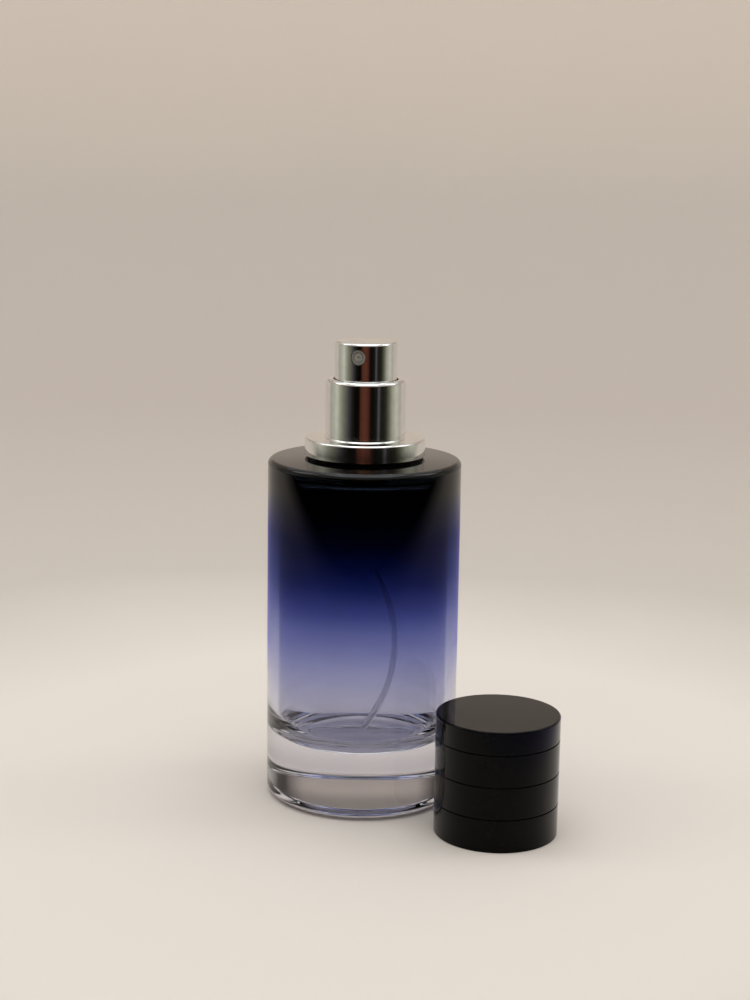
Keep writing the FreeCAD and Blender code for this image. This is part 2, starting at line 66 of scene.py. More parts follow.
# ---- Sizes read from the frame ----
bottle_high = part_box("glass_bottle")[1]
collar_low, collar_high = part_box("collar")
head_low, head_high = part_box("actuator_shell")
cap_low, cap_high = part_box("cap_shell")
liner_low, liner_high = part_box("cap_liner")
nozzle_low, nozzle_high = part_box("nozzle_insert")
tube_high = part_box("dip_tube")[1]

body_r = bottle_high[0]
rim_z = bottle_high[2]
flange_r = collar_high[0]
head_r = head_high[0]
cap_r = (cap_high[0] - cap_low[0]) / 2
cap_h = cap_high[2]
cap_spot = Vector(((cap_low[0] + cap_high[0]) / 2, (cap_low[1] + cap_high[1]) / 2, 0))
nozzle_r = (nozzle_high[0] - nozzle_low[0]) / 2
nozzle_z = (nozzle_low[2] + nozzle_high[2]) / 2


# ---------------------------------------------------------------- meshes
def mesh_piece(name, bm, sharp):
    """Object from a finished bmesh, with smooth shading between edges sharper than this many degrees."""
    bmesh.ops.recalc_face_normals(bm, faces=bm.faces)
    mesh = bpy.data.meshes.new(name)
    bm.to_mesh(mesh)
    bm.free()
    mesh.shade_smooth()
    mesh.set_sharp_from_angle(angle=math.radians(sharp))
    piece = bpy.data.objects.new(name, mesh)
    bpy.context.scene.collection.objects.link(piece)
    return piece


def rounded(corners):
    """Points of a closed (r, z) outline whose corners may carry a rounding radius."""
    points, arcs = [], []
    for i, corner in enumerate(corners):
        here = Vector(corner[:2])
        if len(corner) == 2:
            points.append(here)
            arcs.append(None)
            continue
        before = (Vector(corners[i - 1][:2]) - here).normalized()
        after = (Vector(corners[(i + 1) % len(corners)][:2]) - here).normalized()
        half = before.angle(after) / 2
        cut_back = corner[2] / math.tan(half)
        middle = here + (before + after).normalized() * (corner[2] / math.sin(half))
        start = here + before * cut_back - middle
        end = here + after * cut_back - middle
        sweep = math.pi - 2 * half
        side = 1 if start.x * end.y > start.y * end.x else -1
        count = max(2, math.ceil(sweep / ARC_STEP))
        for k in range(count + 1):
            turn = side * sweep * k / count
            c, s = math.cos(turn), math.sin(turn)
            points.append(middle + Vector((start.x * c - start.y * s, start.x * s + start.y * c)))
            arcs.append(i)
    return beside_arcs(points, arcs)


def beside_arcs(points, arcs):
    """The same outline with a point beside each arc's ends, so a straight stretch keeps its own shading."""
    finished = []
    for i, here in enumerate(points):
        n = (i + 1) % len(points)
        following = points[n]
        finished.append(here)
        within_arc = arcs[i] is not None and arcs[i] == arcs[n]
        too_short = (following - here).length < SHORTEST
        if within_arc or too_short:
            continue
        step = (following - here).normalized() * ARC_MARGIN
        if arcs[i] is not None:
            finished.append(here + step)
        if arcs[n] is not None:
            finished.append(following - step)
    return finished


def turned(name, corners, centre=(0, 0), sides=AROUND):
    """Closed mesh of revolution about the upright line through centre."""
    bm = bmesh.new()
    rings = []
    for r, z in rounded(corners):
        if r < ON_AXIS:
            rings.append([bm.verts.new((centre[0], centre[1], z))])
            continue
        turns = [2 * math.pi * k / sides for k in range(sides)]
        rings.append([
            bm.verts.new((centre[0] + r * math.cos(turn), centre[1] + r * math.sin(turn), z))
            for turn in turns
        ])
    for i, ring in enumerate(rings):
        following = rings[(i + 1) % len(rings)]
        if len(ring) == 1 and len(following) == 1:
            continue
        for k in range(sides):
            n = (k + 1) % sides
            if len(ring) == 1:
                bm.faces.new((ring[0], following[n], following[k]))
            elif len(following) == 1:
                bm.faces.new((ring[k], ring[n], following[0]))
            else:
                bm.faces.new((ring[k], ring[n], following[n], following[k]))
    return mesh_piece(name, bm, SHARP)


# ---------------------------------------------------------------- materials
def linear(red, green, blue):
    """Linear colour from the usual 0-255 values."""
    def one(v):
        v /= 255
        return v / 12.92 if v <= 0.04045 else ((v + 0.055) / 1.055) ** 2.4
    return (one(red), one(green), one(blue), 1.0)


def greys(stops):
    """Ramp stops from (position, share) pairs."""
    return [(at, (share, share, share, 1.0)) for at, share in stops]


class Net:
    """One material's nodes, with a short call for each kind that the script needs."""

    def __init__(self, name):
        self.material = bpy.data.materials.new(name)
        self.material.use_nodes = True
        self.nodes = self.material.node_tree.nodes
        self.links = self.material.node_tree.links
        self.shader = self.nodes["Principled BSDF"]
        self.place = self.node("TexCoord").outputs["Object"]
        self.x, self.y, self.z = self.node("SeparateXYZ", self.place).outputs

    def feed(self, socket, value):
        """Links an output to an input, or sets the input to a number or colour."""
        if isinstance(value, bpy.types.NodeSocket):
            self.links.new(value, socket)
        else:
            socket.default_value = value

    def node(self, kind, *values, **settings):
        """New node whose first inputs take these values."""
        node = self.nodes.new("ShaderNode" + kind)
        for name, setting in settings.items():
            setattr(node, name, setting)
        for socket, value in zip(node.inputs, values):
            self.feed(socket, value)
        return node

    def math(self, operation, first, second=0.0):
        """Output of a math node."""
        return self.node("Math", first, second, operation=operation).outputs[0]

    def noise(self, scale):
        """Noise on the object's own coordinates, from 0 to 1; scale is in 1/m."""
        texture = self.node("TexNoise", self.place)
        texture.inputs["Scale"].default_value = scale
        texture.inputs["Detail"].default_value = 3.0
        return texture.outputs["Fac"]

    def uneven(self, spread, middle, swing):
        """A value that follows a noise, this much from its lowest to its highest."""
        return self.math("ADD", self.math("MULTIPLY", spread, swing), middle - swing / 2)

    def ramp(self, factor, stops):
        """Colour ramp from (position, colour) stops."""
        node = self.node("ValToRGB", factor)
        elements = node.color_ramp.elements
        elements.remove(elements[-1])
        elements[0].position, elements[0].color = stops[0]
        for position, colour in stops[1:]:
            elements.new(position).color = colour
        return node.outputs[0]

    def grain(self, spread, low, high):
        """Colour that follows a noise between two tones."""
        return self.ramp(spread, [(0.3, low), (0.7, high)])

    def principled(self, looks):
        """The material, after its Principled shader has taken these values by input name."""
        for name, value in looks.items():
            self.feed(self.shader.inputs[name], value)
        return self.material


# Share of the light that one coated wall lets through, from the base up: (height in mm, colour).
COAT = [
    (0.0, (0.55, 0.55, 0.64)),
    (4.0, (0.64, 0.64, 0.73)),
    (7.0, (0.84, 0.84, 0.90)),
    (13.0, (0.84, 0.84, 0.90)),
    (19.0, (0.70, 0.71, 0.83)),
    (22.5, (0.61, 0.63, 0.78)),
    (26.0, (0.53, 0.55, 0.74)),
    (30.0, (0.46, 0.49, 0.70)),
    (34.0, (0.40, 0.435, 0.68)),
    (38.5, (0.29, 0.325, 0.60)),
    (41.7, (0.21, 0.25, 0.53)),
    (45.0, (0.11, 0.14, 0.40)),
    (51.0, (0.022, 0.045, 0.19)),
    (60.0, (0.007, 0.016, 0.055)),
    (70.0, (0.003, 0.004, 0.007)),
]


def coated_glass():
    """Clear glass under a sprayed coat that fades from black at the shoulder to nearly clear below."""
    net = Net("coated_glass")
    share = net.math("DIVIDE", net.z, rim_z)
    speckle = net.uneven(net.noise(2600), 0.0, 0.03)
    cloud = net.uneven(net.noise(160), 0.0, 0.012)
    share = net.math("ADD", share, net.math("ADD", speckle, cloud))
    return net.principled({
        "Base Color": net.ramp(share, [(z * MM / rim_z, (*tone, 1)) for z, tone in COAT]),
        "Transmission Weight": 1.0,
        "IOR": 1.5,
        "Roughness": 0.0,
        "Specular Tint": (0.5, 0.5, 0.5, 1),
    })


def bright_metal():
    """Bright anodised aluminium, mirror-like, with a faint drawn grain."""
    net = Net("bright_metal")
    return net.principled({
        "Base Color": net.grain(net.noise(500), (0.80, 0.80, 0.79, 1), (0.88, 0.88, 0.87, 1)),
        "Metallic": 1.0,
        "Roughness": net.uneven(net.noise(900), 0.08, 0.10),
    })


def glossy_black():
    """High-gloss black lacquer with slightly uneven black and gloss."""
    net = Net("glossy_black")
    return net.principled({
        "Base Color": net.ramp(net.noise(700), greys([(0.45, 0.0012), (0.8, 0.003)])),
        "Roughness": net.uneven(net.noise(300), 0.045, 0.05),
        "IOR": 1.5,
        "Specular Tint": (0.14, 0.14, 0.14, 1),
    })


def moulded(name, low, high, roughness, transmission=0.0, ior=1.5):
    """Moulded plastic or rubber with slight colour and gloss variation."""
    net = Net(name)
    spread = net.noise(800)
    return net.principled({
        "Base Color": net.grain(spread, low, high),
        "Roughness": net.uneven(spread, roughness, 0.12),
        "Transmission Weight": transmission,
        "IOR": ior,
    })


def plain_metal(name, low, high, roughness):
    """Steel or plain aluminium with a fine grain."""
    net = Net(name)
    spread = net.noise(1500)
    return net.principled({
        "Base Color": net.grain(spread, low, high),
        "Metallic": 1.0,
        "Roughness": net.uneven(spread, roughness, 0.2),
    })


GLASS = coated_glass()
BRIGHT = bright_metal()
BLACK = glossy_black()
LINER = moulded("black_liner", (0.018, 0.018, 0.019, 1), (0.03, 0.03, 0.031, 1), 0.4)
NATURAL = moulded("natural_plastic", (0.62, 0.62, 0.59, 1), (0.72, 0.72, 0.69, 1), 0.35)
TUBE = moulded("clear_tube", (0.95, 0.95, 0.96, 1), (0.98, 0.98, 0.99, 1), 0.12, transmission=0.9, ior=1.12)
SEAL = moulded("seal_rubber", (0.04, 0.04, 0.042, 1), (0.06, 0.06, 0.062, 1), 0.6)
CORE = moulded("head_core", (0.16, 0.16, 0.16, 1), (0.2, 0.2, 0.2, 1), 0.4)
NOZZLE = moulded("nozzle_plastic", (0.22, 0.225, 0.205, 1), (0.29, 0.295, 0.27, 1), 0.3)
STEEL = plain_metal("steel", (0.5, 0.5, 0.5, 1), (0.62, 0.62, 0.62, 1), 0.25)
FERRULE = plain_metal("plain_aluminium", (0.7, 0.7, 0.7, 1), (0.8, 0.8, 0.8, 1), 0.3)


def dress(piece, material, body, node):
    """Gives a piece its material and body, in place of the CAD node it stands for."""
    piece.data.materials.clear()
    piece.data.materials.append(material)
    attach(piece, body)
    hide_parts(node)


def dress_node(node, material):
    """New material on a CAD node that keeps its own shape."""
    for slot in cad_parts[node].material_slots:
        slot.material = material


# ---------------------------------------------------------------- pieces
def bottle():
    """Glass bottle: the outside, and the cavity with its bowl-like floor."""
    m = MM
    # outside
    neck_h, shoulder_fall = 8.2 * m, 0.6 * m
    neck_r, bead_r, bead_h, bead_slope = 6.5 * m, 7.5 * m, 3.8 * m, 0.6 * m
    push_up, foot_in_r, foot_out_r, heel_rise = 1.2 * m, 14.5 * m, 18.1 * m, 0.6 * m
    foot_round, heel_round = 1.0 * m, 2.0 * m
    shoulder_round, root_round = 1.2 * m, 0.8 * m
    bead_round, rim_round, lip_round = 0.3 * m, 0.5 * m, 0.3 * m
    # inside
    side_wall, shoulder_wall, ceiling_rise = 2.5 * m, 2.8 * m, 0.6 * m
    bore_r = 5.2 * m
    throat_round, ceiling_round, bowl_round = 1.0 * m, 3.0 * m, 7.0 * m

    root_z = rim_z - neck_h
    shoulder_z = root_z - shoulder_fall
    bead_z = rim_z - bead_h
    cavity_r = body_r - side_wall
    ceiling_z = shoulder_z - shoulder_wall
    piece = turned("bottle_glass", [
        (0, push_up),
        (foot_in_r, push_up, foot_round),
        (foot_in_r + push_up, 0, foot_round),
        (foot_out_r, 0, foot_round),
        (body_r, heel_rise, heel_round),
        (body_r, shoulder_z, shoulder_round),
        (neck_r, root_z, root_round),
        (neck_r, bead_z - bead_slope),
        (bead_r, bead_z, bead_round),
        (bead_r, rim_z, rim_round),
        (bore_r, rim_z, lip_round),
        (bore_r, ceiling_z + ceiling_rise, throat_round),
        (cavity_r, ceiling_z, ceiling_round),
        (cavity_r, FLOOR_Z, bowl_round),
        (0, FLOOR_Z),
    ])
    dress(piece, GLASS, "bottle", "glass_bottle")


def collar():
    """Drawn aluminium collar: a wide flange, and a sleeve whose mouth guides the spray head."""
    m = MM
    sheet = 0.4 * m
    flange_h, flange_round = 3.7 * m, 0.45 * m
    sleeve_r, sleeve_round, root_round = 8.7 * m, 0.8 * m, 0.25 * m
    mouth_gap, mouth_round, mouth_h = 0.35 * m, 0.15 * m, 1.0 * m
    inner_round, flange_inner_round = 0.4 * m, 0.05 * m

    low, high = collar_low[2], collar_high[2]
    flange_z = low + flange_h
    mouth_r = head_r + mouth_gap
    piece = turned("collar_sleeve", [
        (flange_r, low),
        (flange_r, flange_z, flange_round),
        (sleeve_r, flange_z, root_round),
        (sleeve_r, high, sleeve_round),
        (mouth_r, high, mouth_round),
        (mouth_r, high - mouth_h),
        (mouth_r + sheet, high - mouth_h),
        (mouth_r + sheet, high - sheet),
        (sleeve_r - sheet, high - sheet, inner_round),
        (sleeve_r - sheet, flange_z - sheet),
        (flange_r - sheet, flange_z - sheet, flange_inner_round),
        (flange_r - sheet, low),
    ])
    dress(piece, BRIGHT, "bottle", "collar")


def cap():
    """Lacquered cap with three thin grooves."""
    m = MM
    wall, top = 1.3 * m, 1.6 * m
    first_groove, groove_pitch, groove_deep = 7.1 * m, 6.9 * m, 0.3 * m
    mouth_half, root_half = 0.14 * m, 0.07 * m
    rim_round, edge_round, inner_round = 0.2 * m, 0.4 * m, 0.5 * m

    corners = [(cap_r - wall, 0), (cap_r, 0, rim_round)]
    for i in range(3):
        z = first_groove + groove_pitch * i
        corners += [
            (cap_r, z - mouth_half),
            (cap_r - groove_deep, z - root_half),
            (cap_r - groove_deep, z + root_half),
            (cap_r, z + mouth_half),
        ]
    corners += [
        (cap_r, cap_h, edge_round),
        (0, cap_h),
        (0, cap_h - top),
        (cap_r - wall, cap_h - top, inner_round),
    ]
    piece = turned("cap_outer", corners, centre=cap_spot[:2])
    dress(piece, BLACK, "cap", "cap_shell")


def face_forward(piece, front):
    """Turns an upright mesh to face -Y, with its zero height this far in front of the axis."""
    place = Matrix.Translation((0, -front, nozzle_z))
    piece.data.transform(place @ Matrix.Rotation(math.pi / 2, 4, "X"))
    piece.data.update()


def drill(piece, cutter):
    """Cuts one mesh out of another and keeps the result as plain mesh."""
    cut = piece.modifiers.new("cut", "BOOLEAN")
    cut.operation = "DIFFERENCE"
    cut.solver = "EXACT"
    cut.object = cutter
    shape = bpy.data.meshes.new_from_object(piece.evaluated_get(bpy.context.evaluated_depsgraph_get()))
    piece.modifiers.clear()
    piece.data = shape
    shape.shade_smooth()
    shape.set_sharp_from_angle(angle=math.radians(SHARP))
    bpy.data.objects.remove(cutter)


def spray_head():
    """Aluminium shell of the spray head, with the hole for its nozzle."""
    m = MM
    sheet = 0.4 * m
    edge_round, top_round, inner_round = 0.1 * m, 0.6 * m, 0.2 * m
    hole_r, cut_in, cut_out = 1.65 * m, 2.0 * m, 1.0 * m

    low, high = head_low[2], head_high[2]
    piece = turned("head_shell", [
        (head_r - sheet, low),
        (head_r, low, edge_round),
        (head_r, high, top_round),
        (0, high),
        (0, high - sheet),
        (head_r - sheet, high - sheet, inner_round),
    ])
    depth = cut_in + cut_out
    cutter = turned("cutter", [(0, 0), (hole_r, 0), (hole_r, depth), (0, depth)], sides=SMALL_AROUND)
    face_forward(cutter, head_r - cut_in)
    drill(piece, cutter)
    dress(piece, BRIGHT, "spray_head", "actuator_shell")


def nozzle():
    """Spray nozzle: a rim, a groove inside it, and the middle with its orifice."""
    m = MM
    orifice_r, orifice_end, orifice_mouth = 0.15 * m, 0.5 * m, 0.33 * m
    dimple_r, middle_r, middle_deep = 0.42 * m, 0.86 * m, 0.04 * m
    groove_in_r, groove_out_r, groove_deep = 0.95 * m, 1.18 * m, 0.35 * m
    rim_in_r = 1.24 * m
    dimple_round, middle_round = 0.05 * m, 0.06 * m
    rim_in_round, rim_round = 0.05 * m, 0.12 * m
    web_tip, web, cup_r = 0.55 * m, 0.9 * m, 0.95 * m

    length = nozzle_high[1] - nozzle_low[1]
    piece = turned("spray_nozzle", [
        (0, -web_tip),
        (orifice_r, -orifice_end),
        (orifice_r, -orifice_mouth),
        (dimple_r, -middle_deep, dimple_round),
        (middle_r, -middle_deep, middle_round),
        (groove_in_r, -groove_deep),
        (groove_out_r, -groove_deep),
        (rim_in_r, 0, rim_in_round),
        (nozzle_r, 0, rim_round),
        (nozzle_r, -length),
        (cup_r, -length),
        (cup_r, -web),
        (0, -web),
    ], sides=SMALL_AROUND)
    face_forward(piece, -nozzle_low[1])
    dress(piece, NOZZLE, "spray_head", "nozzle_insert")


def liner():
    """Plastic liner of the cap, with the bore that grips the collar."""
    m = MM
    bore_r, relief_r, wall, top = 8.75 * m, 9.0 * m, 0.8 * m, 1.0 * m
    grip_h, grip_ease, lead_in = 11.5 * m, 0.25 * m, 0.3 * m
    outer_round, inner_round = 0.7 * m, 0.4 * m

    low, high = liner_low[2], liner_high[2]
    outer_r = (liner_high[0] - liner_low[0]) / 2
    piece = turned("cap_lining", [
        (bore_r + lead_in, low),
        (outer_r, low),
        (outer_r, low + wall),
        (relief_r + wall, low + wall),
        (relief_r + wall, high - top),
        (outer_r, high - top),
        (outer_r, high, outer_round),
        (0, high),
        (0, high - top),
        (relief_r, high - top, inner_round),
        (relief_r, low + grip_h + grip_ease),
        (bore_r, low + grip_h),
        (bore_r, low + lead_in),
    ], centre=cap_spot[:2])
    dress(piece, LINER, "cap", "cap_liner")


def tube_route():
    """Centre line of the dip tube: straight in its socket, then two tangent arcs, in its own plane."""
    m = MM
    bow, lowest_share = 7.2 * m, 0.43     # how far it bows, and how much of it is below the widest spot
    end_gap, socket_deep = 0.8 * m, 4.5 * m
    upper_steps, lower_steps = 24, 48

    top = tube_high[2]
    end = FLOOR_Z + end_gap
    mouth = top - socket_deep
    above = (mouth - end) * (1 - lowest_share)
    below = (mouth - end) * lowest_share
    upper_turn = 2 * math.atan(bow / above)
    lower_turn = 2 * math.atan(bow / below)
    lower_r = below / math.sin(lower_turn)
    upper_r = above / math.sin(upper_turn) - lower_r
    spots = [(0, top), (0, (top + mouth) / 2)]
    for k in range(upper_steps + 1):
        turn = upper_turn * k / upper_steps
        spots.append((upper_r * (1 - math.cos(turn)), mouth - upper_r * math.sin(turn)))
    for k in range(1, lower_steps + 1):
        turn = upper_turn - (upper_turn + lower_turn) * k / lower_steps
        spots.append((bow - lower_r * (1 - math.cos(turn)), end + below + lower_r * math.sin(turn)))
    return [Vector((out * math.cos(TUBE_SIDE), out * math.sin(TUBE_SIDE), z)) for out, z in spots]


def ring_about(bm, spot, along, side, r, sides):
    """Ring of vertices square to a path at one of its spots."""
    across = along.cross(side)
    turns = [2 * math.pi * k / sides for k in range(sides)]
    return [bm.verts.new(spot + r * (math.cos(turn) * side + math.sin(turn) * across)) for turn in turns]


def skin(bm, rings):
    """Faces between each ring and the next."""
    for ring, following in zip(rings, rings[1:]):
        for k in range(len(ring)):
            bm.faces.new((ring[k - 1], ring[k], following[k], following[k - 1]))


def tube():
    """Dip tube, hollow from end to end."""
    outer_r, inner_r, sides = 0.75 * MM, 0.45 * MM, 32
    spots = tube_route()
    sideways = Vector((-math.sin(TUBE_SIDE), math.cos(TUBE_SIDE), 0))
    last = len(spots) - 1
    along = [(spots[min(i + 1, last)] - spots[max(i - 1, 0)]).normalized() for i in range(last + 1)]
    bm = bmesh.new()
    outer, inner = (
        [ring_about(bm, spot, way, sideways, r, sides) for spot, way in zip(spots, along)]
        for r in (outer_r, inner_r)
    )
    skin(bm, outer)
    skin(bm, inner)
    for end in (0, -1):
        skin(bm, [outer[end], inner[end]])
    piece = mesh_piece("dip_hose", bm, WIRE_SHARP)
    dress(piece, TUBE, "bottle", "dip_tube")


def spring(name, node, wire_r, coils):
    """Coil spring that fills its CAD node's box."""
    steps_per_coil, wire_sides = 32, 12
    low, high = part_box(node)
    r = high[0] - wire_r
    height = high[2] - low[2] - 2 * wire_r
    steps = steps_per_coil * coils
    bm = bmesh.new()
    rings = []
    for k in range(steps + 1):
        turn = 2 * math.pi * coils * k / steps
        side = Vector((math.cos(turn), math.sin(turn), 0))
        spot = side * r + Vector((0, 0, low[2] + wire_r + height * k / steps))
        along = Vector((-side.y, side.x, height / (2 * math.pi * coils * r))).normalized()
        rings.append(ring_about(bm, spot, along, side, wire_r, wire_sides))
    skin(bm, rings)
    bm.faces.new(rings[0])
    bm.faces.new(rings[-1])
    return mesh_piece(name, bm, WIRE_SHARP)


def springs():
    """The pump's two springs, each with a mesh of its own."""
    piece = spring("return_coil", "return_spring", wire_r=0.25 * MM, coils=8)
    dress(piece, STEEL, "bottle", "return_spring")
    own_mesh(piece)

    piece = spring("piston_coil", "piston_spring", wire_r=0.175 * MM, coils=4)
    dress(piece, STEEL, "stem", "piston_spring")
    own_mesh(piece)


bottle()
collar()
cap()
spray_head()
nozzle()
liner()
tube()
springs()

for node, material in {
    "pump_housing": NATURAL,
    "inlet_ball": STEEL,
    "piston": NATURAL,
    "valve_pin": NATURAL,
    "stem": NATURAL,
    "stem_seal": SEAL,
    "turret": NATURAL,
    "neck_gasket": SEAL,
    "crimp_ferrule": FERRULE,
    "collar_insert": NATURAL,
    "actuator_core": CORE,
}.items():
    dress_node(node, material)


# ---------------------------------------------------------------- stage, lights, camera
# The camera's place and aim were fitted to the outlines in the photo; lengths in metres, angles in radians.
VIEW_SIDE = math.radians(15)      # the camera stands this far round from the nozzle, towards +X
CAMERA_AWAY = 0.38466             # from the bottle's axis
CAMERA_HEIGHT = 0.14354
CAMERA_DIP = 0.1988
CAMERA_TURN = 0.0061
CAMERA_ROLL = 0.0150
CAMERA_LENS = 64.8                # mm on a 36 mm sensor

FLAT_R = 0.3                      # the floor is shaded quite flat up to here
FLOOR_R = 0.55
BEND_R = 0.45
WALL_TOP = 0.78
# Colours of the paper with painted light, by distance from the bottle plus height, in metres: brighter near
# the bottle and high on the wall, darker between.
PAPER_AND_PAINTED_LIGHT = [
    (0.0, linear(221, 213, 205)),
    (0.11, linear(220, 212, 204)),
    (0.21, linear(195, 187, 178)),
    (0.36, linear(192, 183, 174)),
    (0.60, linear(192, 182, 174)),
    (0.93, linear(192, 183, 174)),
    (1.17, linear(210, 199, 188)),
    (1.60, linear(214, 203, 191)),
]
PAPER_SPAN = 2.0
# Painted shade that only the glass sees: the share of its light that the paper keeps when it is seen through
# the glass, by height in metres, and by degrees from the middle of the back wall where it is also higher
# than the low part.
HIGH_PAPER = [
    (0.17, 1.0),
    (0.25, 0.72),
    (0.34, 0.42),
    (0.35, 0.95),
    (0.370, 0.95),
    (0.378, 0.6),
    (0.40, 0.6),
    (0.42, 0.4),
]
SIDE_PAPER = [(26, 1.0), (42, 0.06)]
LOW_PAPER = [(0.2, 1.0), (0.3, 0.0)]
# The same painted shade, by height, for mirror images.
MIRRORED_PAPER = [(0.24, 1.0), (0.36, 0.75)]
# Painted reflection: the floor round the bottle is painted navy for mirror rays from below the collar,
# mostly from the glass; by distance from the axis in metres.
NAVY_REFLECTION_REACH = [(0.09, 0.0), (0.13, 1.0), (0.28, 1.0), (0.36, 0.0)]
PAINTED_NAVY_REFLECTION = (0.38, 0.38, 1.0, 1)
# Light that the thick base gathers on the paper under it, which only the glass sees.
UNDER_GLASS = [(0.019, 1.0), (0.023, 0.0)]
GLASS_GLOW = 0.3
# What the metal and the glass reflect from the camera's side: (degrees to the viewer's right, colour).
SCREEN = [
    (-132, (196, 190, 176)),
    (-116, (160, 158, 144)),
    (-100, (178, 176, 162)),
    (-88, (194, 193, 178)),
    (-78, (158, 158, 142)),
    (-67, (122, 122, 106)),
    (-56, (92, 90, 82)),
    (-47, (60, 56, 60)),
    (-38, (30, 28, 26)),
    (-29, (8, 8, 7)),
    (-18, (12, 9, 8)),
    (-13, (76, 42, 31)),
    (-3, (92, 52, 39)),
    (7, (78, 42, 31)),
    (13, (36, 20, 15)),
    (18, (10, 9, 7)),
    (32, (24, 24, 22)),
    (38, (84, 82, 84)),
    (42, (40, 38, 38)),
    (50, (26, 26, 20)),
    (60, (44, 44, 34)),
    (70, (96, 95, 80)),
    (82, (158, 158, 142)),
    (98, (192, 190, 176)),
    (116, (170, 166, 152)),
    (132, (204, 196, 184)),
]
SCREEN_REACH = 150                 # degrees to each side
SCREEN_COVER = [(-148, 0.0), (-134, 1.0), (134, 1.0), (148, 0.0)]
# The screen lies on the floor and then stands up; lengths in metres.
SCREEN_IN_R, SCREEN_OUT_R = 0.15, 0.5
SCREEN_LOW, SCREEN_HIGH = 0.001, 0.22
SCREEN_START = [(0.16, 0.0), (0.24, 1.0)]   # where its soft inner edge begins in front
SCREEN_TONGUE = 1.8                         # how much farther out the edge lies towards the sides
TABLE_EDGE = [(0.443, 1.0), (0.458, 0.0)]   # it is dark within this distance and striped beyond
TABLE_DARK = linear(16, 15, 14)

to_camera = Vector((math.sin(VIEW_SIDE), -math.cos(VIEW_SIDE), 0))
to_right = Vector((math.cos(VIEW_SIDE), math.sin(VIEW_SIDE), 0))


def around_object(right, away, height):
    """A place in the row frame from its distances to the viewer's right and away from the viewer."""
    return to_right * right - to_camera * away + Vector((0, 0, height))


def add_camera():
    """Camera at the usual product angle, a little above the spray head."""
    data = bpy.data.cameras.new("camera")
    data.lens = CAMERA_LENS
    data.sensor_width = 36
    data.clip_start = 0.01
    camera = bpy.data.objects.new("camera", data)
    bpy.context.scene.collection.objects.link(camera)
    ahead = math.cos(CAMERA_DIP)
    forward = around_object(
        math.sin(CAMERA_TURN) * ahead,
        math.cos(CAMERA_TURN) * ahead,
        -math.sin(CAMERA_DIP),
    )
    level = around_object(math.cos(CAMERA_TURN), -math.sin(CAMERA_TURN), 0)
    upward = level.cross(forward)
    right = math.cos(CAMERA_ROLL) * level + math.sin(CAMERA_ROLL) * upward
    up = right.cross(forward)
    turn = Matrix((right, up, -forward)).transposed()
    place = around_object(0, -CAMERA_AWAY, CAMERA_HEIGHT)
    camera.matrix_world = Matrix.Translation(place) @ turn.to_4x4()
    bpy.context.scene.camera = camera


def swept(name, profile, first, last, steps):
    """Sheet of the stage, swept round the axis from an open (r, z) profile between two angles."""
    bm = bmesh.new()
    rows = []
    for k in range(steps + 1):
        turn = first + (last - first) * k / steps
        out = math.sin(turn) * to_right + math.cos(turn) * to_camera
        rows.append([bm.verts.new(out * r + Vector((0, 0, z))) for r, z in profile])
    for row, following in zip(rows, rows[1:]):
        for k in range(len(profile) - 1):
            bm.faces.new((row[k], row[k + 1], following[k + 1], following[k]))
    bmesh.ops.remove_doubles(bm, verts=bm.verts, dist=1e-6)
    piece = mesh_piece(name, bm, STAGE_SHARP)
    return piece


def reach(net):
    """Output with the distance from the upright axis."""
    squares = net.math("ADD", net.math("MULTIPLY", net.x, net.x), net.math("MULTIPLY", net.y, net.y))
    return net.math("SQRT", squares)


def towards(net, way):
    """Output with the distance from the axis along a level direction."""
    return net.math("ADD", net.math("MULTIPLY", net.x, way.x), net.math("MULTIPLY", net.y, way.y))


